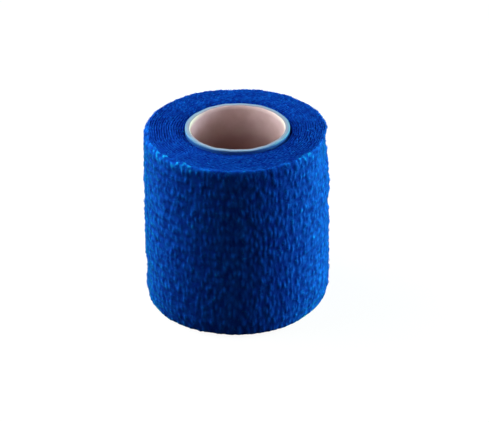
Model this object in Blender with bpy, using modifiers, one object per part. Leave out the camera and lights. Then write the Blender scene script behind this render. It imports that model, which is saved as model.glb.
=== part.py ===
"""A cohesive bandage roll, 5 cm wide, wound on a paper tube and standing on its end.

Metres, +Z up along the roll's axis. The origin is the middle of the face it stands on, and -Y is the front.
"""

from math import atan2, cos, hypot, pi, radians, sin, sqrt, tau

import bmesh
import bpy

# Driving sizes.
BANDAGE_WIDTH = 0.050  # across the tape, which is the roll's height
RIM_RADIUS = 0.0246  # mean outside radius of the wound tape at its upper edge
LAYER = 0.00065  # one turn of the relaxed tape
CORE_BORE_RADIUS = 0.0127
CORE_WALL = 0.0013
CORE_STAND_OUT = 0.0007  # how far the tube's top stands above the rim
SEAT_GAP = 0.0003  # between the tube and the first turn

# The wound form.
RIM_ROUND = 0.0007  # the upper outer edge
FOOT_FLARE = 0.0004  # how much wider the roll is at its foot than at its rim
FOOT_TUCK = 0.0015  # how far the lower outer edge curls inwards
FOOT_TUCK_HEIGHT = 0.0086  # and from how high up
FACE_CROWN = 0.0003  # how much higher the inner turns stand than the rim
TUBE_DIP = 0.0005  # the first turns lie this far below their neighbours
TUBE_DIP_WIDTH = 0.0026
OUTER_END_ANGLE = radians(72)  # the tape's outer end, stuck down on the back
ROLL_OFFSET = 0.00015  # the wall's middle, to the right, which keeps the weight over the origin
TUBE_OFFSET = 0.00045  # the tube's middle, as the roll is wound a little thicker on its left
SLACK = {"depth": 0.00012, "around": 2, "start": 0.7}  # how the roll is out of round
FACE_RELIEF = 0.00020  # the turns' edges stand this far above and below each other

# The crinkles that the elastic threads gather across the tape.
CRINKLES = 120  # around the outer turn
CRINKLE_DEPTH = 0.00022  # from the mean surface to a ridge or a valley
WANDER = 1.2  # how far a crinkle strays to either side, in radians of its own wave

# How finely the solids are cut.
COLUMNS_PER_CRINKLE = 2
WALL_ROWS = 12
FOOT_ROWS = 4
RIM_ROWS = 2
CORE_COLUMNS = 72
CORE_CUT_EDGE = 0.0002
MERGE_DISTANCE = 0.00001

# How the crinkles stray: waves around the roll, the height of one wave, and where it starts.
WANDERINGS = (
    {"around": 5, "height": 0.0190, "start": 0.4, "share": 1.0},
    {"around": -13, "height": 0.0115, "start": 2.1, "share": 0.9},
    {"around": 29, "height": 0.0078, "start": 4.4, "share": 0.7},
)

# The uneven upper face, in waves: their number around the roll, the width of one, and its start.
FACE_WAVES = (
    {"around": 9, "width": 0.0030, "start": 0.0, "share": 0.6},
    {"around": -23, "width": 0.0019, "start": 2.1, "share": 0.4},
)

# Hollows in the outer wall, and a bulge where the depth is negative. Angles are in degrees from +X towards
# +Y, and sizes are half widths.
DENTS = (
    {"place": "right, rim", "angle": -8, "height": 0.0454, "depth": 0.0022, "wide": 24, "tall": 0.0058},
    {"place": "left, rim", "angle": 184, "height": 0.0494, "depth": 0.0005, "wide": 14, "tall": 0.0020},
    {"place": "right, bulge", "angle": 4, "height": 0.0328, "depth": -0.0004, "wide": 28, "tall": 0.0044},
    {"place": "right, middle", "angle": 4, "height": 0.0288, "depth": 0.0011, "wide": 28, "tall": 0.0022},
    {"place": "right, foot", "angle": -35, "height": 0.0015, "depth": 0.0006, "wide": 35, "tall": 0.0080},
    {"place": "left, foot", "angle": 182, "height": 0.0095, "depth": 0.0006, "wide": 34, "tall": 0.0075},
    {"place": "back, middle", "angle": 118, "height": 0.0250, "depth": 0.0004, "wide": 22, "tall": 0.0090},
    {"place": "back, rim", "angle": 92, "height": 0.0490, "depth": 0.0007, "wide": 24, "tall": 0.0090},
)

FIRST_TURN_RADIUS = CORE_BORE_RADIUS + CORE_WALL + SEAT_GAP
LEVEL_RADIUS = FIRST_TURN_RADIUS + TUBE_DIP_WIDTH  # where the upper face comes level
FOOT_FLAT_RADIUS = RIM_RADIUS + FOOT_FLARE - FOOT_TUCK  # the edge of the face it stands on
WALL_TOP = BANDAGE_WIDTH - RIM_ROUND


def clear_scene():
    for obj in list(bpy.data.objects):
        bpy.data.objects.remove(obj, do_unlink=True)


def material(name, colour, roughness):
    made = bpy.data.materials.new(name)
    made.use_nodes = True
    shader = made.node_tree.nodes["Principled BSDF"]
    shader.inputs["Base Color"].default_value = (*colour, 1.0)
    shader.inputs["Roughness"].default_value = roughness
    shader.inputs["Metallic"].default_value = 0.0
    return made


def smooth_step(low, high, value):
    share = min(1.0, max(0.0, (value - low) / (high - low)))
    return share * share * (3.0 - 2.0 * share)


def wall_radius(height):
    """The outer wall's mean radius: a slight flare towards the foot, whose last stretch curls inwards."""
    radius = RIM_RADIUS + FOOT_FLARE * (1.0 - height / BANDAGE_WIDTH)
    if height < FOOT_TUCK_HEIGHT:
        down = 1.0 - height / FOOT_TUCK_HEIGHT
        radius -= FOOT_TUCK * (1.0 - sqrt(1.0 - down * down))
    return radius


def roll_section():
    """The wound tape's section: from the tube outwards over the top, down the wall and back underneath."""
    section = [
        (FIRST_TURN_RADIUS, BANDAGE_WIDTH + FACE_CROWN - TUBE_DIP),
        (LEVEL_RADIUS, BANDAGE_WIDTH + FACE_CROWN),
        ((LEVEL_RADIUS + RIM_RADIUS) / 2, BANDAGE_WIDTH + FACE_CROWN / 2),
    ]
    for row in range(RIM_ROWS):
        turn = pi / 2 * row / RIM_ROWS
        section.append((RIM_RADIUS - RIM_ROUND * (1.0 - sin(turn)), WALL_TOP + RIM_ROUND * cos(turn)))
    for row in range(WALL_ROWS):
        height = WALL_TOP + (FOOT_TUCK_HEIGHT - WALL_TOP) * row / WALL_ROWS
        section.append((wall_radius(height), height))
    for row in range(FOOT_ROWS + 1):
        height = FOOT_TUCK_HEIGHT * (1.0 - sin(pi / 2 * row / FOOT_ROWS))
        section.append((wall_radius(height), height))
    section.append((FIRST_TURN_RADIUS, 0.0))
    return section


def core_section():
    outer = CORE_BORE_RADIUS + CORE_WALL
    top = BANDAGE_WIDTH + CORE_STAND_OUT
    return [(CORE_BORE_RADIUS, top), (outer, top), (outer, 0.0), (CORE_BORE_RADIUS, 0.0)]


def turned(name, section, columns):
    """An object whose closed section goes once round the Z axis."""
    mesh = bpy.data.meshes.new(name)
    corners = len(section)
    mesh.from_pydata(
        [(radius, 0.0, height) for radius, height in section],
        [(corner, (corner + 1) % corners) for corner in range(corners)],
        [],
    )
    obj = bpy.data.objects.new(name, mesh)
    bpy.context.scene.collection.objects.link(obj)
    screw = obj.modifiers.new("turn", "SCREW")
    screw.axis = "Z"
    screw.angle = tau
    screw.steps = columns
    screw.render_steps = columns
    screw.use_merge_vertices = True
    screw.merge_threshold = MERGE_DISTANCE
    return obj


def with_modifiers_applied(obj):
    """The object with its modifiers turned into mesh, so that its points can be moved."""
    graph = bpy.context.evaluated_depsgraph_get()
    mesh = bpy.data.meshes.new_from_object(obj.evaluated_get(graph))
    obj.modifiers.clear()
    obj.data = mesh
    return obj


def crinkle(angle, height):
    """The crinkles' relief, 1 on a ridge and -1 in a valley.

    A crinkle that strays by a quarter of its wave fades between its two columns, and its neighbour takes
    over, which breaks the ridges into the short lengths that the gathered tape has.
    """
    stray = 0.0
    for wave in WANDERINGS:
        stray += wave["share"] * sin(wave["around"] * angle + tau * height / wave["height"] + wave["start"])
    return cos(CRINKLES * angle + WANDER * stray)


def dent_depth(angle, height):
    """How far the hollows press the wall in at this place."""
    depth = 0.0
    for dent in DENTS:
        turn = (angle - radians(dent["angle"]) + pi) % tau - pi
        reach = hypot(turn / radians(dent["wide"]), (height - dent["height"]) / dent["tall"])
        depth += dent["depth"] * (1.0 - smooth_step(0.0, 1.0, reach))
    return depth


def winding_offset(angle):
    """What the winding adds to the mean radius: the last turn's growth along its spiral, and its slack."""
    share_of_turn = ((angle - OUTER_END_ANGLE) % tau) / tau
    return LAYER * (0.5 - share_of_turn) + SLACK["depth"] * sin(SLACK["around"] * angle + SLACK["start"])


def face_relief(angle, radius):
    """The uneven edges of the turns on the upper face, from -1 to 1."""
    relief = 0.0
    for wave in FACE_WAVES:
        relief += wave["share"] * sin(wave["around"] * angle + tau * radius / wave["width"] + wave["start"])
    return relief


def shape_wound_surface(roll):
    """Moves the turned section's points to the wound, crinkled and dented surface."""
    for vertex in roll.data.vertices:
        x, y, height = vertex.co
        radius = hypot(x, y)
        angle = atan2(y, x)
        outward = smooth_step(LEVEL_RADIUS, FOOT_FLAT_RADIUS, radius)
        on_wall = smooth_step(FOOT_FLAT_RADIUS, RIM_RADIUS - RIM_ROUND / 2, radius)
        on_top = smooth_step(WALL_TOP, BANDAGE_WIDTH, height)
        radius += outward * winding_offset(angle)
        radius += on_wall * (CRINKLE_DEPTH * crinkle(angle, height) - dent_depth(angle, height))
        vertex.co.x = radius * cos(angle) + TUBE_OFFSET + (ROLL_OFFSET - TUBE_OFFSET) * outward
        vertex.co.y = radius * sin(angle)
        vertex.co.z += on_top * FACE_RELIEF * face_relief(angle, radius)


def bandage_roll():
    """The wound tape: one solid of its wound form, with the crinkles that show from a step away."""
    columns = COLUMNS_PER_CRINKLE * CRINKLES
    roll = with_modifiers_applied(turned("bandage_roll", roll_section(), columns))
    shape_wound_surface(roll)
    work = bmesh.new()
    work.from_mesh(roll.data)
    bmesh.ops.triangulate(work, faces=work.faces)
    work.to_mesh(roll.data)
    work.free()
    roll.data.materials.append(material("blue_bandage", (0.004, 0.048, 0.300), 0.85))
    roll.data.shade_smooth()
    return roll


def core():
    """The paper tube that the tape is wound on, cut a little longer than the tape is wide."""
    tube = turned("core", core_section(), CORE_COLUMNS)
    tube.location.x = TUBE_OFFSET
    edge = tube.modifiers.new("cut_edges", "BEVEL")
    edge.width = CORE_CUT_EDGE
    edge.segments = 1
    edge.limit_method = "ANGLE"
    edge.angle_limit = radians(40)
    tube.data.materials.append(material("pale_paper", (0.620, 0.500, 0.440), 0.75))
    return tube


def main():
    clear_scene()
    parts = bpy.data.collections.new("cohesive_bandage_roll")
    bpy.context.scene.collection.children.link(parts)
    for piece in (bandage_roll(), core()):
        bpy.context.scene.collection.objects.unlink(piece)
        parts.objects.link(piece)


main()
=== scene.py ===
"""The looks of a cohesive bandage roll: crinkled tape with fuzz, paper tube, floor, lights and camera.

Metres, +Z up along the roll's axis, -Y towards the camera. Angles around the roll run from +X towards +Y.
"""

from math import cos, pi, radians, sin, tau

import bmesh
import bpy
from mathutils import Euler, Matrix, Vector


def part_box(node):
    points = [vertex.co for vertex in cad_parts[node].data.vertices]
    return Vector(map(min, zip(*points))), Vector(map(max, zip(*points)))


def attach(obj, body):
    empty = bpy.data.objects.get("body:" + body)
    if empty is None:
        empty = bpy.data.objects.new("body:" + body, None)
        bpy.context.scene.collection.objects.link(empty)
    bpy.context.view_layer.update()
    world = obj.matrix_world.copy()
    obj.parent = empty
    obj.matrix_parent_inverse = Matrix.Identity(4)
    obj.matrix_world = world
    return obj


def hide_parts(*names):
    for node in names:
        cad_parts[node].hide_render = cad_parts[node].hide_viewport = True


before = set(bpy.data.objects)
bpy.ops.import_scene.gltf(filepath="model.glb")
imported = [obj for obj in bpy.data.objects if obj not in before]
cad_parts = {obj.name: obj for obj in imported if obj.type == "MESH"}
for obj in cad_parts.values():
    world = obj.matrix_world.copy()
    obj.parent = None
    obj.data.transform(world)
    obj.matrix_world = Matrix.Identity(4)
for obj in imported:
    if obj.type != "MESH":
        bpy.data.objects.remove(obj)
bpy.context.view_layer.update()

# The roll, as the frame gives it and as its maker winds it.
tube_low, tube_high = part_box("core")
BANDAGE_WIDTH = 0.050
RIM_RADIUS = 0.0246
LAYER = 0.00065
TAPE_THICKNESS = 0.00055
TUBE_RADIUS = (tube_high.x - tube_low.x) / 2
TUBE_OFFSET = (tube_high.x + tube_low.x) / 2  # the tube's middle, to the right
ROLL_OFFSET = 0.00015  # and the wall's
TUBE_WALL = 0.0013
TUBE_TOP = tube_high.z
SEAT_GAP = 0.0002
FIRST_TURN_RADIUS = TUBE_RADIUS + SEAT_GAP
OUTER_END_ANGLE = radians(72)

# How the roll departs from a plain cylinder.
RIM_CURL = 0.0010  # how far down the rim's roundness reaches
RIM_CURL_IN = 0.00055  # and how far it draws the outermost turn in
FOOT_FLARE = 0.0004
FOOT_TUCK = 0.0015
FOOT_TUCK_HEIGHT = 0.0086
FACE_CROWN = 0.0003  # how much higher the inner turns stand than the rim
TUBE_DIP = 0.0005
TUBE_DIP_WIDTH = 0.0034
OVALNESS = 0.00012
BROAD_LUMPS = {"pitch": 0.0065, "height": 0.00012}
SMALL_LUMPS = {"pitch": 0.0023, "height": 0.00016}

# The tape's crinkles.
THREAD_PITCH = 0.0026  # between the elastic threads that run along the tape
SIDE_SLACK = 0.30  # how much wider the crinkles are at the roll's sides than at its front
DRIFT_PITCH = 0.0040  # the crinkles stray in broad waves
SWAY_PITCH = 0.0013  # and in narrow ones
PATCH_PITCH = 0.0060  # of the patches where they are deeper or shallower
FLECK_PITCH = 0.0011

# The tape's outer end, which is cut a little unevenly and pressed down.
CUT_LENGTH = 0.0012
CUT_WAVE_PITCH = 0.0016
CUT_PRESSED_IN = 0.00012

# The tape's upper edges.
RAGGED_PITCH = 0.0010
SETTLED_PITCH = 0.0050
RIM_EDGE = 0.0006  # the height that counts as the rim itself
HIGHLIGHT_AND_TUFTS_BAND = 0.0020  # how far below the rim the tufts and their painted highlight reach
TUFT_PITCH = 0.0014
TUFTS_OUT = 0.00022
TUFTS_UP = 0.00016

# Where loose fibres stand.
BARE_FOOT = 0.0016
FUZZY_RIM = 0.0012

# The grain of the tape's colour.
STREAK_PITCH = 0.00100
SPECK_PITCH = 0.00115
GRAIN_PITCH = 0.00028
CLOUD_PITCH = 0.0030

# The tube's spiral seam, and how deep into the bore its colour is painted dark, as painted shade.
SEAM_PITCH = 0.062
SEAM_WIDTH = 0.00035
BORE_SHADE = 0.014

FLOOR_SIZE = 6.0
FLOOR_DROP = 0.00002  # keeps the floor just clear of the foot

# The hollows on the roll's outline, and a bulge where the depth is negative. Angles are in degrees, and
# sizes are half widths.
DENTS = (
    {"place": "right, rim", "angle": -8, "height": 0.0454, "depth": 0.0022, "wide": 24, "tall": 0.0058},
    {"place": "right, under rim", "angle": -4, "height": 0.0457, "depth": 0.0004, "wide": 24, "tall": 0.0014},
    {"place": "left, rim", "angle": 184, "height": 0.0494, "depth": 0.0005, "wide": 14, "tall": 0.0020},
    {"place": "right, bulge", "angle": 4, "height": 0.0328, "depth": -0.0004, "wide": 28, "tall": 0.0044},
    {"place": "right, middle", "angle": 4, "height": 0.0288, "depth": 0.0011, "wide": 28, "tall": 0.0022},
    {"place": "right, foot", "angle": -35, "height": 0.0015, "depth": 0.0006, "wide": 35, "tall": 0.0080},
    {"place": "left, foot", "angle": 182, "height": 0.0095, "depth": 0.0006, "wide": 34, "tall": 0.0075},
    {"place": "back, middle", "angle": 118, "height": 0.0250, "depth": 0.0004, "wide": 22, "tall": 0.0090},
    {"place": "back, rim", "angle": 92, "height": 0.0490, "depth": 0.0007, "wide": 24, "tall": 0.0090},
)

# Where the rim's tufts stand out and the rim is painted lighter, a painted highlight on the rim.
# Angles and half widths in degrees.
HIGHLIGHT_AND_TUFT_PLACES = (
    {"place": "front left", "angle": -137, "wide": 34, "wear": 1.1},
    {"place": "front right", "angle": -44, "wide": 22, "wear": 0.6},
)
HIGHLIGHT_AND_TUFTS_ELSEWHERE = 0.14

# The camera, which looks down on the roll from the front.
PHOTO_WIDTH = 489
SENSOR = 36.0
CAMERA_DISTANCE = 0.878
CAMERA_ELEVATION = radians(28.94)
CAMERA_ROLL = -0.0105
PIXELS_PER_METRE = 3701.6  # at the middle of the roll
ROLL_LEFT_OF_CENTRE = 7.85  # pixels


class Field:
    """A value inside a node tree, so that a shape's rule reads as plain sums."""

    def __init__(self, tree, socket):
        self.tree = tree
        self.socket = socket

    def _do(self, operation, *values):
        node = self.tree.nodes.new("ShaderNodeMath")
        node.operation = operation
        for place, value in enumerate(values):
            feed(self.tree, value, node.inputs[place])
        return Field(self.tree, node.outputs[0])

    def __add__(self, other):
        return self._do("ADD", self, other)

    def __radd__(self, other):
        return self._do("ADD", other, self)

    def __sub__(self, other):
        return self._do("SUBTRACT", self, other)

    def __rsub__(self, other):
        return self._do("SUBTRACT", other, self)

    def __mul__(self, other):
        return self._do("MULTIPLY", self, other)

    def __rmul__(self, other):
        return self._do("MULTIPLY", other, self)

    def __truediv__(self, other):
        return self._do("DIVIDE", self, other)

    def __rtruediv__(self, other):
        return self._do("DIVIDE", other, self)

    def __neg__(self):
        return self._do("MULTIPLY", self, -1.0)

    def __abs__(self):
        return self._do("ABSOLUTE", self)

    def __pow__(self, other):
        return self._do("POWER", self, other)

    def sin(self):
        return self._do("SINE", self)

    def cos(self):
        return self._do("COSINE", self)

    def sqrt(self):
        return self._do("SQRT", self)

    def floor(self):
        return self._do("FLOOR", self)

    def angle_to(self, other):
        return self._do("ARCTAN2", self, other)

    def least(self, other):
        return self._do("MINIMUM", self, other)

    def most(self, other):
        return self._do("MAXIMUM", self, other)

    def clamped(self):
        return self.least(1.0).most(0.0)

    def over(self, other):
        """1 where this is greater than the other, else 0."""
        return self._do("GREATER_THAN", self, other)

    def eased(self, low, high):
        """0 at low and 1 at high, with a soft start and stop."""
        share = ((self - low) / (high - low)).clamped()
        return share * share * (3.0 - 2.0 * share)


def feed(tree, value, socket):
    if isinstance(value, Field):
        tree.links.new(value.socket, socket)
    else:
        socket.default_value = value


def step(tree, kind, inputs=None, output=0, **settings):
    """Adds a node with these settings and inputs, and returns one of its outputs."""
    node = tree.nodes.new(kind)
    for name, value in settings.items():
        setattr(node, name, value)
    for name, value in (inputs or {}).items():
        feed(tree, value, node.inputs[name])
    return Field(tree, node.outputs[output])


def place_at(tree, x, y, z):
    return step(tree, "ShaderNodeCombineXYZ", {"X": x, "Y": y, "Z": z})


def parts_of(tree, vector):
    node = tree.nodes.new("ShaderNodeSeparateXYZ")
    feed(tree, vector, node.inputs[0])
    return [Field(tree, socket) for socket in node.outputs]


def noise(tree, where, pitch, seed, detail=0.0):
    """Smooth noise from about -1 to 1, whose blobs are one pitch across."""
    value = step(
        tree,
        "ShaderNodeTexNoise",
        {"Vector": where, "W": seed, "Scale": 1.0 / pitch, "Detail": detail},
        noise_dimensions="4D",
    )
    return (value - 0.5) * 2.4


def random_value(tree, low, high, seed):
    """A number between low and high for each point."""
    node = tree.nodes.new("FunctionNodeRandomValue")
    node.data_type = "FLOAT"
    sockets = {socket.identifier: socket for socket in node.inputs}
    feed(tree, low, sockets["Min_001"])
    feed(tree, high, sockets["Max_001"])
    feed(tree, seed, sockets["Seed"])
    value = [socket for socket in node.outputs if socket.identifier == "Value_001"]
    return Field(tree, value[0])


def named_value(tree, name):
    return step(tree, "GeometryNodeInputNamedAttribute", {"Name": name}, data_type="FLOAT")


def stored(tree, geometry, name, value):
    return step(
        tree,
        "GeometryNodeStoreNamedAttribute",
        {"Geometry": geometry, "Name": name, "Value": value},
        data_type="FLOAT",
        domain="POINT",
    )


def new_tree(name, inputs):
    """A geometry tree with named inputs. Returns the tree and a Field for each input."""
    tree = bpy.data.node_groups.new(name, "GeometryNodeTree")
    tree.interface.new_socket("Geometry", in_out="INPUT", socket_type="NodeSocketGeometry")
    tree.interface.new_socket("Geometry", in_out="OUTPUT", socket_type="NodeSocketGeometry")
    for label, kind in inputs.items():
        tree.interface.new_socket(label, in_out="INPUT", socket_type="NodeSocket" + kind)
    entry = tree.nodes.new("NodeGroupInput")
    return tree, {label: Field(tree, entry.outputs[label]) for label in inputs}


def finished_tree(tree, geometry, material):
    """Ends a tree in Realize Instances and Set Material."""
    real = step(tree, "GeometryNodeRealizeInstances", {"Geometry": geometry})
    dressed = step(tree, "GeometryNodeSetMaterial", {"Geometry": real, "Material": material})
    leave = tree.nodes.new("NodeGroupOutput")
    tree.links.new(dressed.socket, leave.inputs[0])


def piece_from_tree(name, tree, values):
    """Runs a geometry tree with these input values and keeps its result as a plain mesh."""
    carrier = bpy.data.objects.new(name, bpy.data.meshes.new(name + "_empty"))
    bpy.context.scene.collection.objects.link(carrier)
    modifier = carrier.modifiers.new("shape", "NODES")
    modifier.node_group = tree
    for item in tree.interface.items_tree:
        if item.in_out == "INPUT" and item.name in values:
            modifier[item.identifier] = values[item.name]
    graph = bpy.context.evaluated_depsgraph_get()
    mesh = bpy.data.meshes.new_from_object(carrier.evaluated_get(graph))
    carrier.modifiers.clear()
    carrier.data = mesh
    return carrier


TAPE_INPUTS = {
    "Columns": "Int",
    "Face Rows": "Int",
    "Back Rows": "Int",
    "Edge Rows": "Int",
    "Turns": "Float",
    "Layer": "Float",
    "Thickness": "Float",
    "Outer Radius": "Float",
    "Outer End Angle": "Float",
    "Cut Unevenness": "Float",
    "Crinkle Pitch": "Float",
    "Crinkle Depth": "Float",
    "Crinkle Wander": "Float",
    "Thread Pitch": "Float",
    "Thread Pinch": "Float",
    "Edge Unevenness": "Float",
    "Rim Tufts": "Float",
    "Seed": "Float",
    "Material": "Material",
}


def strip_across(share, rows, edge_rows, half, foot_bias):
    """One face of the tape from its lower edge to its upper: the height, and how far its round edges draw in.

    The foot bias sets how much closer the rows lie near the foot, where the face curls in.
    """
    edge = edge_rows / rows
    low = (share / edge).clamped() * (pi / 2)
    high = ((share - (1.0 - edge)) / edge).clamped() * (pi / 2)
    middle = ((share - edge) / (1.0 - 2.0 * edge)).clamped()
    middle = middle * (1.0 - foot_bias) + middle * middle * foot_bias
    height = half * (1.0 - low.cos()) + (BANDAGE_WIDTH - 2.0 * half) * middle + half * high.sin()
    inset = half * (1.0 - low.sin()) + half * (1.0 - high.cos())
    return height, inset


def turn_from(angle, place):
    """How far an angle lies from a place's, in half widths of the place."""
    turn = angle - radians(place["angle"])
    turn = turn - ((turn / tau) + 0.5).floor() * tau
    return turn / radians(place["wide"])


def rim_highlight_and_tufts(angle):
    """How far the rim's tufts stand out and how strong its painted highlight is, all around."""
    wear = HIGHLIGHT_AND_TUFTS_ELSEWHERE
    for place in HIGHLIGHT_AND_TUFT_PLACES:
        reach = abs(turn_from(angle, place))
        wear = wear + (place["wear"] - HIGHLIGHT_AND_TUFTS_ELSEWHERE) * (1.0 - reach.eased(0.0, 1.0))
    return wear


def dented(angle, height):
    """How far the hollows press the wall in."""
    depth = 0.0
    for dent in DENTS:
        across = turn_from(angle, dent)
        up = (height - dent["height"]) / dent["tall"]
        reach = (across * across + up * up).sqrt()
        depth = depth + dent["depth"] * (1.0 - reach.eased(0.0, 1.0))
    return depth


def gathers(tree, along_tape, height, pitch, thread_pitch, reach):
    """The puckers between the elastic threads, a row for each gap: 1 on top of one, 0 between them."""
    node = tree.nodes.new("ShaderNodeTexVoronoi")
    node.voronoi_dimensions = "2D"
    node.feature = "F1"
    feed(tree, place_at(tree, along_tape / pitch, height / thread_pitch, 0.0), node.inputs["Vector"])
    node.inputs["Scale"].default_value = 1.0
    node.inputs["Randomness"].default_value = 0.9
    fullness = parts_of(tree, Field(tree, node.outputs["Color"]))[0]
    from_middle = Field(tree, node.outputs["Distance"])
    return (1.0 - from_middle.eased(0.0, reach)) * (0.45 + 0.75 * fullness)


def streaked(tree, along_tape, height, pitch, seed, at_side):
    """Noise on the tape, drawn out upright at the roll's front and back and short at its sides."""
    long = noise(tree, place_at(tree, along_tape, height * 0.45, seed), pitch, seed, detail=1.0)
    short = noise(tree, place_at(tree, along_tape, height * 0.85, seed), pitch, seed, detail=1.0)
    return long + at_side * (short - long)


def wound_tape_tree():
    """The tape as a strip with round edges, wound in a spiral from its outer end inwards, and crinkled."""
    tree, given = new_tree("wound_tape", TAPE_INPUTS)

    line = step(tree, "GeometryNodeCurvePrimitiveLine")
    cut_line = step(tree, "GeometryNodeResampleCurve", {"Curve": line, "Count": given["Columns"]})
    along_line = step(tree, "GeometryNodeSplineParameter")
    line_with_along = stored(tree, cut_line, "along", along_line)
    rows_around = given["Face Rows"] + given["Back Rows"]
    ring = step(tree, "GeometryNodeCurvePrimitiveCircle", {"Resolution": rows_around})
    ring_with_rows = stored(tree, ring, "row", step(tree, "GeometryNodeInputIndex"))
    strip = step(
        tree,
        "GeometryNodeCurveToMesh",
        {"Curve": line_with_along, "Profile Curve": ring_with_rows, "Fill Caps": True},
    )

    along = named_value(tree, "along")
    row = named_value(tree, "row")
    half = given["Thickness"] / 2.0
    on_back = row.over(given["Face Rows"] - 0.5)
    face_share = (row + 0.5) / given["Face Rows"]
    back_share = (rows_around - row - 0.5) / given["Back Rows"]
    edge_rows = given["Edge Rows"]
    face_height, face_inset = strip_across(face_share, given["Face Rows"], edge_rows, half, foot_bias=0.0)
    back_height, back_inset = strip_across(back_share, given["Back Rows"], edge_rows, half, foot_bias=0.65)
    height = face_height + on_back * (back_height - face_height)
    from_middle = (half - face_inset) - on_back * (2.0 * half - face_inset - back_inset)

    # Where each point lies along the spiral.
    wound_back = (1.0 - along) * given["Turns"]
    plain_radius = given["Outer Radius"] - wound_back * given["Layer"]
    share_out = (plain_radius - FIRST_TURN_RADIUS) / (RIM_RADIUS - FIRST_TURN_RADIUS)
    at_cut = (1.0 - wound_back * tau * plain_radius / CUT_LENGTH).most(0.0)
    cut_wave = noise(tree, place_at(tree, 0.0, 0.0, height), CUT_WAVE_PITCH, given["Seed"] + 53.0, detail=2.0)
    cut_back = given["Cut Unevenness"] * (cut_wave + 1.0) * at_cut / plain_radius
    angle = given["Outer End Angle"] + wound_back * tau + cut_back

    # The roll's own form.
    down = (1.0 - height / FOOT_TUCK_HEIGHT).most(0.0)
    tuck = FOOT_TUCK * (1.0 - (1.0 - down * down).sqrt())
    up = ((height - (BANDAGE_WIDTH - RIM_CURL)) / RIM_CURL).most(0.0)
    curl = RIM_CURL_IN * up * up * share_out ** 8.0
    widening = FOOT_FLARE * (1.0 - height / BANDAGE_WIDTH) - tuck
    oval = OVALNESS * (2.0 * angle + 0.7).sin()
    on_cylinder = place_at(tree, plain_radius * angle.cos(), plain_radius * angle.sin(), height)
    broad = noise(tree, on_cylinder, BROAD_LUMPS["pitch"], given["Seed"] + 61.0, detail=1.0)
    small = noise(tree, on_cylinder, SMALL_LUMPS["pitch"], given["Seed"] + 67.0)
    lumps = BROAD_LUMPS["height"] * broad + SMALL_LUMPS["height"] * small
    press = dented(angle, height)
    wall_radius = plain_radius + from_middle + share_out * (widening + oval + lumps - press) - curl
    wall_radius = wall_radius - CUT_PRESSED_IN * at_cut

    # The crinkles.
    drift = noise(tree, on_cylinder, DRIFT_PITCH, given["Seed"] + 7.0, detail=1.0)
    sway = noise(tree, on_cylinder, SWAY_PITCH, given["Seed"] + 9.0)
    along_tape = wound_back * tau * (given["Outer Radius"] + plain_radius) / 2.0
    slackened = along_tape - SIDE_SLACK / 2.0 * plain_radius * (2.0 * angle).sin()
    strayed_along = slackened + given["Crinkle Wander"] * (drift + 0.8 * sway)
    strayed_height = height + given["Crinkle Wander"] * (1.2 * drift - 0.6 * sway)
    strayed = strayed_along, strayed_height
    at_side = (1.6 * angle.cos() * angle.cos()).least(1.0)  # 0 in front and behind, 1 at the sides
    pitch, thread_pitch = given["Crinkle Pitch"], given["Thread Pitch"]
    pucker = gathers(tree, *strayed, pitch, thread_pitch, reach=0.62 - 0.10 * at_side)
    crease = streaked(tree, *strayed, pitch * 0.9, given["Seed"], at_side)
    thread = abs((strayed_height / thread_pitch * pi).sin()).eased(0.05, 0.95)
    strength = 0.90 + 0.15 * noise(tree, on_cylinder, PATCH_PITCH, given["Seed"] + 19.0)
    fleck = streaked(tree, *strayed, FLECK_PITCH, given["Seed"] + 37.0, at_side)
    # The flecks are stronger at the roll's sides: painted highlight and shade where the side lights rake the
    # crinkles.
    fleck = fleck * (0.7 + 0.3 * at_side)
    groove = 0.12 + 0.48 * at_side
    relief = (0.20 + 0.70 * pucker + 0.24 * crease).clamped() * strength * (1.0 - groove * (1.0 - thread))
    stand_out = given["Crinkle Depth"] * (relief - 0.50 + 0.15 * at_side)
    radius = wall_radius + stand_out - given["Thread Pinch"] * (1.0 - thread)

    # The rim's tufts and painted highlight, and the upper face.
    tufts = noise(tree, on_cylinder, TUFT_PITCH, given["Seed"] + 71.0, detail=3.0).eased(-0.25, 0.50)
    near_rim = height.eased(BANDAGE_WIDTH - HIGHLIGHT_AND_TUFTS_BAND, BANDAGE_WIDTH - RIM_EDGE)
    # This mask raises the rim's tufts, and stored as an attribute it paints the rim lighter: a painted
    # highlight.
    wear = rim_highlight_and_tufts(angle) * tufts * near_rim * share_out.eased(0.84, 0.95)
    radius = radius + given["Rim Tufts"] * TUFTS_OUT * wear

    edge_place = place_at(tree, plain_radius * angle.cos(), plain_radius * angle.sin(), 0.0)
    ragged = noise(tree, edge_place, RAGGED_PITCH, given["Seed"] + 31.0, detail=2.0)
    settled = noise(tree, edge_place, SETTLED_PITCH, given["Seed"] + 43.0)
    lift = given["Edge Unevenness"] * (0.8 * ragged + 0.5 * settled) + TUFTS_UP * wear
    beside_tube = 1.0 - plain_radius.eased(FIRST_TURN_RADIUS, FIRST_TURN_RADIUS + TUBE_DIP_WIDTH)
    crown = FACE_CROWN * (1.0 - share_out)
    up_share = (height / BANDAGE_WIDTH) ** 5.0
    down_share = (1.0 - height / BANDAGE_WIDTH) ** 5.0
    final_height = height + up_share * (lift + crown - TUBE_DIP * beside_tube) + down_share * abs(lift)

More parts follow.
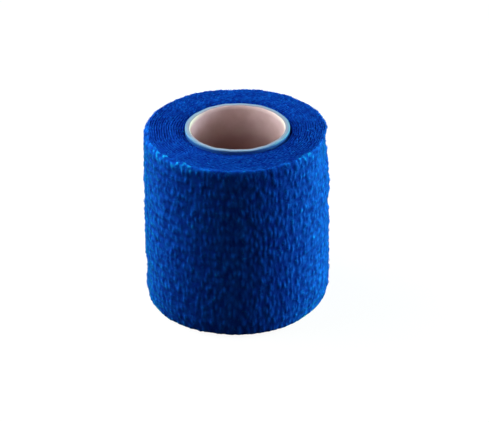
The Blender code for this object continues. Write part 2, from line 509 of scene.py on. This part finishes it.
    # Less 0.36 beside the tube paints the tape around the tube darker: a painted shadow around the tube.
    with_relief = stored(tree, strip, "relief", relief + 0.22 * fleck - 0.36 * beside_tube)
    with_highlight_and_tufts = stored(tree, with_relief, "wear", wear)
    aside = TUBE_OFFSET + (ROLL_OFFSET - TUBE_OFFSET) * share_out
    place = place_at(tree, radius * angle.cos() + aside, radius * angle.sin(), final_height)
    shaped = step(tree, "GeometryNodeSetPosition", {"Geometry": with_highlight_and_tufts, "Position": place})
    smooth = step(tree, "GeometryNodeSetShadeSmooth", {"Geometry": shaped})
    finished_tree(tree, smooth, given["Material"])
    return tree


FIBRE_INPUTS = {
    "Outer Turn": "Object",
    "Inner Turns": "Object",
    "Wall Density": "Float",
    "Rim Density": "Float",
    "Top Density": "Float",
    "Fibre Length": "Float",
    "Fibre Radius": "Float",
    "Fibre Rise": "Float",
    "Seed": "Int",
    "Material": "Material",
}


def loose_fibre_tree():
    """Short bent fibres that stand a little off the tape's outer face and its upper edges."""
    tree, given = new_tree("loose_fibres", FIBRE_INPUTS)
    outer = step(tree, "GeometryNodeObjectInfo", {"Object": given["Outer Turn"]}, output="Geometry")
    inner = step(tree, "GeometryNodeObjectInfo", {"Object": given["Inner Turns"]}, output="Geometry")
    both = tree.nodes.new("GeometryNodeJoinGeometry")
    tree.links.new(stored(tree, outer, "outermost", 1.0).socket, both.inputs[0])
    tree.links.new(inner.socket, both.inputs[0])

    x, y, height = parts_of(tree, step(tree, "GeometryNodeInputPosition"))
    across, away, rise = parts_of(tree, step(tree, "GeometryNodeInputNormal"))
    outward = (x * across + y * away) / (x * x + y * y).sqrt()
    on_wall = named_value(tree, "outermost").over(0.5) * outward.over(0.4) * height.over(BARE_FOOT)
    on_crests = 0.3 + 1.4 * named_value(tree, "relief").eased(0.25, 0.75)
    on_rim = on_wall * height.over(BANDAGE_WIDTH - FUZZY_RIM)
    on_top = rise.over(0.5) * height.over(BANDAGE_WIDTH - RIM_EDGE)
    wall_density = given["Wall Density"] * on_wall * on_crests
    density = wall_density + given["Rim Density"] * on_rim + given["Top Density"] * on_top
    scatter = tree.nodes.new("GeometryNodeDistributePointsOnFaces")
    scatter.distribute_method = "RANDOM"
    tree.links.new(both.outputs[0], scatter.inputs["Mesh"])
    feed(tree, density, scatter.inputs["Density"])
    feed(tree, given["Seed"], scatter.inputs["Seed"])

    half = given["Fibre Length"] / 2.0
    arc = step(
        tree,
        "GeometryNodeCurveQuadraticBezier",
        {
            "Resolution": 3,
            "Start": place_at(tree, -half, 0.0, -2.0 * given["Fibre Radius"]),
            "Middle": place_at(tree, 0.0, half * 0.8, given["Fibre Rise"] * 2.0),
            "End": place_at(tree, half, 0.0, given["Fibre Rise"] * 0.5),
        },
    )
    thickness = {"Resolution": 3, "Radius": given["Fibre Radius"]}
    section = step(tree, "GeometryNodeCurvePrimitiveCircle", thickness)
    fibre = step(tree, "GeometryNodeCurveToMesh", {"Curve": arc, "Profile Curve": section, "Fill Caps": True})

    turn = random_value(tree, 0.0, tau, given["Seed"] + 1.0)
    size = random_value(tree, 0.5, 1.5, given["Seed"] + 2.0)
    spin = step(tree, "FunctionNodeAxisAngleToRotation", {"Axis": (0.0, 0.0, 1.0), "Angle": turn})
    turned = step(
        tree,
        "FunctionNodeRotateRotation",
        {"Rotation": Field(tree, scatter.outputs["Rotation"]), "Rotate By": spin},
        rotation_space="LOCAL",
    )
    laid = step(
        tree,
        "GeometryNodeInstanceOnPoints",
        {
            "Points": Field(tree, scatter.outputs["Points"]),
            "Instance": fibre,
            "Rotation": turned,
            "Scale": size,
        },
    )
    real = step(tree, "GeometryNodeRealizeInstances", {"Geometry": laid})
    # The fibres get a ridge's lighter tone: painted highlight, as on the ridges.
    with_relief = stored(tree, real, "relief", 0.75)
    with_highlight_and_tufts = stored(tree, with_relief, "wear", 0.0)
    smooth = step(tree, "GeometryNodeSetShadeSmooth", {"Geometry": with_highlight_and_tufts})
    finished_tree(tree, smooth, given["Material"])
    return tree


def faces_out(piece):
    """Turns the faces of a closed piece outwards."""
    work = bmesh.new()
    work.from_mesh(piece.data)
    bmesh.ops.triangulate(work, faces=[face for face in work.faces if len(face.verts) > 4])
    if work.calc_volume(signed=True) < 0:
        bmesh.ops.reverse_faces(work, faces=work.faces)
    work.to_mesh(piece.data)
    work.free()


def new_material(name, roughness):
    made = bpy.data.materials.new(name)
    made.use_nodes = True
    shader = made.node_tree.nodes["Principled BSDF"]
    shader.inputs["Roughness"].default_value = roughness
    shader.inputs["Metallic"].default_value = 0.0
    return made, made.node_tree, shader


def object_place(tree, stretch=(1.0, 1.0, 1.0)):
    coordinates = step(tree, "ShaderNodeTexCoord", output="Object")
    return step(tree, "ShaderNodeMapping", {"Vector": coordinates, "Scale": stretch})


def colour_ramp(tree, value, stops):
    ramp = tree.nodes.new("ShaderNodeValToRGB")
    feed(tree, value, ramp.inputs["Fac"])
    points = ramp.color_ramp.elements
    while len(points) < len(stops):
        points.new(1.0)
    for point, (position, colour) in zip(points, stops):
        point.position = position
        point.color = (*colour, 1.0)
    return Field(tree, ramp.outputs["Color"])


def shader_noise(tree, where, pitch, detail=2.0):
    """Smooth noise from 0 to 1, whose blobs are one pitch across."""
    return step(tree, "ShaderNodeTexNoise", {"Vector": where, "Scale": 1.0 / pitch, "Detail": detail})


def mixed(tree, share, first, second):
    """The first colour where the share is 0, and the second where it is 1."""
    mix = tree.nodes.new("ShaderNodeMix")
    mix.data_type = "RGBA"
    feed(tree, share, mix.inputs["Factor"])
    feed(tree, first, mix.inputs["A"])
    feed(tree, second, mix.inputs["B"])
    return Field(tree, mix.outputs["Result"])


def bumped(tree, shader, height, distance):
    normal = step(tree, "ShaderNodeBump", {"Height": height, "Distance": distance, "Strength": 1.0})
    feed(tree, normal, shader.inputs["Normal"])


def blue_crepe(name, strength, sheen, flecks):
    """The tape: azure on the ridges' fibres and deep blue in the pits, which is painted highlight on the
    ridges and painted shade in the pits.

    Strength scales the colour, and below 1 it makes the colour darker as painted shade. Sheen is the
    weight of the sheen. Flecks is 1 if the upright streaks give way to short, stronger blots at the roll's
    sides, painted highlight and shade where the side lights rake the crinkles, and 0 if they don't.
    """
    made, tree, shader = new_material(name, 0.9)
    relief = step(tree, "ShaderNodeAttribute", output="Fac", attribute_name="relief")
    wear = step(tree, "ShaderNodeAttribute", output="Fac", attribute_name="wear")
    x, y = parts_of(tree, object_place(tree))[:2]
    # The stronger blots at the roll's sides are painted highlight and shade where the side lights rake the
    # crinkles.
    at_side = (1.6 * x * x / (x * x + y * y)).least(1.0) * flecks
    streaks = shader_noise(tree, object_place(tree, (1.0, 1.0, 0.60)), STREAK_PITCH)
    specks = shader_noise(tree, object_place(tree, (1.0, 0.80, 0.95)), SPECK_PITCH, detail=1.0)
    blots = (streaks - 0.5) * (0.20 - 0.20 * at_side) + (specks - 0.5) * (0.80 * at_side)
    fibres = shader_noise(tree, object_place(tree, (1.0, 1.0, 0.45)), GRAIN_PITCH)
    clouds = shader_noise(tree, object_place(tree), CLOUD_PITCH)
    # The relief makes the tone lighter on the ridges and darker in the pits: painted highlight and painted
    # shade.
    tone = relief * 0.45 + blots + (fibres - 0.5) * 0.15 + (clouds - 0.5) * 0.40 + 0.28
    stops = (
        (0.00, (0.0020, 0.014, 0.120)),
        (0.30, (0.0026, 0.036, 0.350)),
        (0.65, (0.0040, 0.108, 0.640)),
        (1.00, (0.0090, 0.380, 0.900)),
    )
    # The rim mask added to the tone is a painted highlight on the rim.
    colour = colour_ramp(tree, tone + wear, [
        (position, tuple(part * strength for part in colour)) for position, colour in stops
    ])
    feed(tree, colour, shader.inputs["Base Color"])
    shader.inputs["Specular IOR Level"].default_value = 0.02
    shader.inputs["Specular Tint"].default_value = (0.003, 0.30, 1.0, 1.0)
    shader.inputs["Sheen Weight"].default_value = sheen
    shader.inputs["Sheen Roughness"].default_value = 0.20
    shader.inputs["Sheen Tint"].default_value = (0.004, 0.72, 1.0, 1.0)
    fine_net = 1.0 - abs(fibres - 0.5) * 4.0
    bumped(tree, shader, fine_net * 0.3 + streaks * 0.5, 0.00012)
    return made


def tube_paper():
    """The tube: pinkish board inside, darker deep in the bore as painted shade, and a pale bluish cut rim.
    Outside, where it meets the tape, it is blue: painted shade and a painted reflection of the tape.
    """
    made, tree, shader = new_material("tube_paper", 0.7)
    where = object_place(tree)
    x, y, height = parts_of(tree, where)
    x = x - TUBE_OFFSET
    radius = (x * x + y * y).sqrt()
    cloud = shader_noise(tree, where, 0.004, detail=3.0)
    inside = colour_ramp(tree, cloud, (
        (0.30, (0.77, 0.58, 0.57)),
        (0.70, (0.91, 0.72, 0.72)),
    ))
    # Deeper in the bore the colour turns dark: painted shade inside the tube.
    deep = (TUBE_TOP - height).eased(0.0, BORE_SHADE)
    inside = mixed(tree, deep, inside, (0.31, 0.17, 0.16, 1.0))
    bore = TUBE_RADIUS - TUBE_WALL
    # Across the rim the colour is darker and greyer at the bore's rounded edge, painted shade there, and
    # bluer towards the tape.
    across_rim = colour_ramp(tree, (radius - bore) / TUBE_WALL, (
        (0.05, (0.25, 0.24, 0.29)),
        (0.40, (0.26, 0.32, 0.43)),
        (0.75, (0.17, 0.31, 0.48)),
        (1.00, (0.08, 0.23, 0.44)),
    ))
    off_bore = radius.eased(bore + 0.00002, bore + 0.00016)
    cut_ply = mixed(tree, off_bore, inside, across_rim)
    # The outside below the rim is painted dark blue: painted shade and a painted reflection of the tape.
    outside = (TUBE_TOP - height).eased(0.00025, 0.00055) * radius.over(TUBE_RADIUS - 0.00012)
    feed(tree, mixed(tree, outside, cut_ply, (0.006, 0.10, 0.42, 1.0)), shader.inputs["Base Color"])
    shader.inputs["Specular IOR Level"].default_value = 0.3
    winding = y.angle_to(x) / tau + height / SEAM_PITCH
    from_seam = abs(winding - winding.floor() - 0.5) * SEAM_PITCH
    seam = from_seam.eased(0.0, SEAM_WIDTH)
    grain = shader_noise(tree, where, 0.0003, detail=3.0)
    bumped(tree, shader, grain * 0.4 + seam * 0.6, 0.00008)
    return made


def white_floor():
    """The pale floor, which the camera sees nearly white, with a faint shadow where the roll stands."""
    made, tree, shader = new_material("white_floor", 0.9)
    shader.inputs["Base Color"].default_value = (0.08, 0.08, 0.08, 1.0)
    pale = step(tree, "ShaderNodeBsdfDiffuse", {"Color": (0.8, 0.8, 0.8, 1.0)})
    glow = step(tree, "ShaderNodeEmission", {"Color": (1.0, 1.0, 1.0, 1.0), "Strength": 1.06})
    seen = tree.nodes.new("ShaderNodeMixShader")
    seen.inputs["Fac"].default_value = 0.12
    tree.links.new(glow.socket, seen.inputs[1])
    tree.links.new(pale.socket, seen.inputs[2])
    rays = step(tree, "ShaderNodeLightPath", output="Is Camera Ray")
    choose = tree.nodes.new("ShaderNodeMixShader")
    tree.links.new(rays.socket, choose.inputs["Fac"])
    tree.links.new(shader.outputs[0], choose.inputs[1])
    tree.links.new(seen.outputs[0], choose.inputs[2])
    tree.links.new(choose.outputs[0], tree.nodes["Material Output"].inputs["Surface"])
    return made


def floor():
    bpy.ops.mesh.primitive_plane_add(size=FLOOR_SIZE, location=(0.0, 0.0, -FLOOR_DROP))
    plane = bpy.context.active_object
    plane.name = "floor"
    plane.data.materials.append(white_floor())


def softbox(name, azimuth, elevation, distance, size, power, colour):
    """A square area light that faces the roll. Azimuth 0 is in front, and 90 on the right."""
    light = bpy.data.lights.new(name, "AREA")
    light.shape = "RECTANGLE"
    light.size, light.size_y = size
    light.energy = power
    light.color = colour
    lamp = bpy.data.objects.new(name, light)
    bpy.context.scene.collection.objects.link(lamp)
    middle = Vector((0.0, 0.0, BANDAGE_WIDTH / 2))
    turn, lift = radians(azimuth), radians(elevation)
    away = Vector((sin(turn) * cos(lift), -cos(turn) * cos(lift), sin(lift)))
    lamp.location = middle + away * distance
    lamp.rotation_euler = away.to_track_quat("Z", "Y").to_euler()


def lights():
    white = (1.0, 1.0, 1.0)
    softbox("right_softbox", 98, 9, 0.70, (0.40, 0.30), 5.2, (0.80, 0.88, 1.0))
    softbox("right_rim_light", 122, 3, 0.70, (0.30, 0.12), 12.0, (0.30, 1.0, 0.46))
    softbox("right_high_softbox", 100, 45, 0.70, (0.40, 0.40), 1.0, white)
    softbox("left_softbox", -104, 10, 0.70, (0.40, 0.30), 1.6, (0.85, 0.90, 1.0))
    softbox("left_rim_light", -125, 5, 0.70, (0.30, 0.12), 5.0, (0.50, 1.0, 0.62))
    softbox("left_high_softbox", -102, 50, 0.22, (0.18, 0.18), 0.48, white)
    softbox("overhead_softbox", -90, 74, 0.24, (0.14, 0.14), 0.15, white)
    softbox("front_fill", 0, 12, 0.90, (0.50, 0.24), 0.40, (1.0, 0.60, 0.58))
    world = bpy.data.worlds.new("studio")
    bpy.context.scene.world = world
    world.use_nodes = True
    tree = world.node_tree
    rays = step(tree, "ShaderNodeLightPath", output="Is Camera Ray")
    background = tree.nodes["Background"]
    feed(tree, rays * 0.98 + 0.02, background.inputs["Strength"])
    background.inputs["Color"].default_value = (1.0, 1.0, 1.0, 1.0)


def camera():
    made = bpy.data.cameras.new("camera")
    made.sensor_width = SENSOR
    made.lens = SENSOR * PIXELS_PER_METRE * CAMERA_DISTANCE / PHOTO_WIDTH
    eye = bpy.data.objects.new("camera", made)
    bpy.context.scene.collection.objects.link(eye)
    aim = Vector((ROLL_LEFT_OF_CENTRE / PIXELS_PER_METRE, 0.0, BANDAGE_WIDTH / 2))
    back = Vector((0.0, -cos(CAMERA_ELEVATION), sin(CAMERA_ELEVATION)))
    eye.location = aim + back * CAMERA_DISTANCE
    turn = back.to_track_quat("Z", "Y")
    eye.rotation_mode = "QUATERNION"
    eye.rotation_quaternion = turn @ Euler((0.0, 0.0, CAMERA_ROLL)).to_quaternion()
    made.clip_start = 0.05
    made.clip_end = 20.0
    bpy.context.scene.camera = eye


def tube_section():
    """The tube's section: up its bore, over the cut rim, whose plies show, and down outside."""
    bore = TUBE_RADIUS - TUBE_WALL
    foot = 0.0004
    rounding = 0.00022
    ply_step = 0.00003
    bore_rows = 36
    outer_rows = 8
    plies = 8
    bore_rise = TUBE_TOP - rounding - foot
    section = [(bore, foot + bore_rise * row / bore_rows) for row in range(bore_rows + 1)]
    for line in range(plies + 1):
        across = (TUBE_WALL - 2.0 * rounding) * line / plies
        sunk = ply_step if line % 2 else 0.0
        section.append((bore + rounding + across, TUBE_TOP - sunk))
    for turn in (0.35, 0.70):
        section.append((
            TUBE_RADIUS - rounding * (1.0 - sin(turn * pi / 2)),
            TUBE_TOP - rounding * (1.0 - cos(turn * pi / 2)),
        ))
    top = TUBE_TOP - rounding
    section += [(TUBE_RADIUS, top - (top - foot) * row / outer_rows) for row in range(outer_rows + 1)]
    section += [(TUBE_RADIUS - rounding, 0.0), (bore + rounding, 0.0)]
    return section


def paper_tube(material):
    """The tube with a softened, slightly crushed rim."""
    columns = 180
    crushed_band = 0.0012
    section = tube_section()
    corners = len(section)
    points = []
    for column in range(columns):
        angle = tau * column / columns
        crush = 0.00005 * sin(7 * angle + 0.6) + 0.00004 * sin(17 * angle + 2.0) - 0.00009
        for radius, height in section:
            near_rim = max(0.0, (height - TUBE_TOP) / crushed_band + 1.0)
            reach = radius + 0.00003 * near_rim * sin(5 * angle + 1.0)
            x = TUBE_OFFSET + reach * cos(angle)
            points.append((x, reach * sin(angle), height + near_rim * crush))
    faces = []
    for column in range(columns):
        here = column * corners
        there = (column + 1) % columns * corners
        for corner in range(corners):
            after = (corner + 1) % corners
            faces.append((here + corner, here + after, there + after, there + corner))
    mesh = bpy.data.meshes.new("core_tube")
    mesh.from_pydata(points, [], faces)
    mesh.materials.append(material)
    tube = bpy.data.objects.new("core_tube", mesh)
    bpy.context.scene.collection.objects.link(tube)
    faces_out(tube)
    tube.data.shade_smooth()
    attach(tube, "root")
    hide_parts("core")


def bandage(tree, face_material, edge_material):
    """The tape's outermost turn, the turns inside it and the loose fibres, as three pieces."""
    shared = {
        "Layer": LAYER,
        "Thickness": TAPE_THICKNESS,
        "Outer End Angle": OUTER_END_ANGLE,
        "Thread Pitch": THREAD_PITCH,
    }
    outer = piece_from_tree("outer_turn", tree, shared | {
        "Columns": 820,
        "Face Rows": 108,
        "Back Rows": 10,
        "Edge Rows": 3,
        "Turns": 1.0,
        "Outer Radius": RIM_RADIUS + LAYER / 2 - TAPE_THICKNESS / 2,
        "Cut Unevenness": 0.00025,
        "Crinkle Pitch": 0.00155,
        "Crinkle Depth": 0.00042,
        "Crinkle Wander": 0.0003,
        "Thread Pinch": 0.00006,
        "Edge Unevenness": 0.00026,
        "Rim Tufts": 1.0,
        "Seed": 3.0,
        "Material": face_material,
    })
    inner_outside = RIM_RADIUS - LAYER / 2 - TAPE_THICKNESS / 2
    turns = (inner_outside - TAPE_THICKNESS / 2 - FIRST_TURN_RADIUS) / LAYER
    inner = piece_from_tree("inner_turns", tree, shared | {
        "Columns": 7600,
        "Face Rows": 7,
        "Back Rows": 5,
        "Edge Rows": 2,
        "Turns": turns,
        "Outer Radius": inner_outside,
        "Cut Unevenness": 0.0,
        "Crinkle Pitch": 0.0012,
        "Crinkle Depth": 0.00050,
        "Crinkle Wander": 0.0003,
        "Thread Pinch": 0.0,
        "Edge Unevenness": 0.00022,
        "Rim Tufts": 0.0,
        "Seed": 11.0,
        "Material": edge_material,
    })
    for piece in (outer, inner):
        faces_out(piece)
    fibres = piece_from_tree("loose_fibres", loose_fibre_tree(), {
        "Outer Turn": outer,
        "Inner Turns": inner,
        "Wall Density": 1100000.0,
        "Rim Density": 1500000.0,
        "Top Density": 600000.0,
        "Fibre Length": 0.0008,
        "Fibre Radius": 0.000022,
        "Fibre Rise": 0.00012,
        "Seed": 5,
        "Material": face_material,
    })
    for piece in (outer, inner, fibres):
        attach(piece, "root")
        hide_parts("bandage_roll")


bpy.context.scene.view_settings.view_transform = "Standard"
camera()
lights()
floor()
wall_crepe = blue_crepe("blue_crepe", strength=1.0, sheen=1.0, flecks=1.0)
# The inner turns' upper edges get a darker copy of the tape's colour without sheen: painted shade on the
# roll's top face.
edge_crepe = blue_crepe("blue_crepe_edges", strength=0.77, sheen=0.0, flecks=0.0)
bandage(wound_tape_tree(), wall_crepe, edge_crepe)
paper_tube(tube_paper())
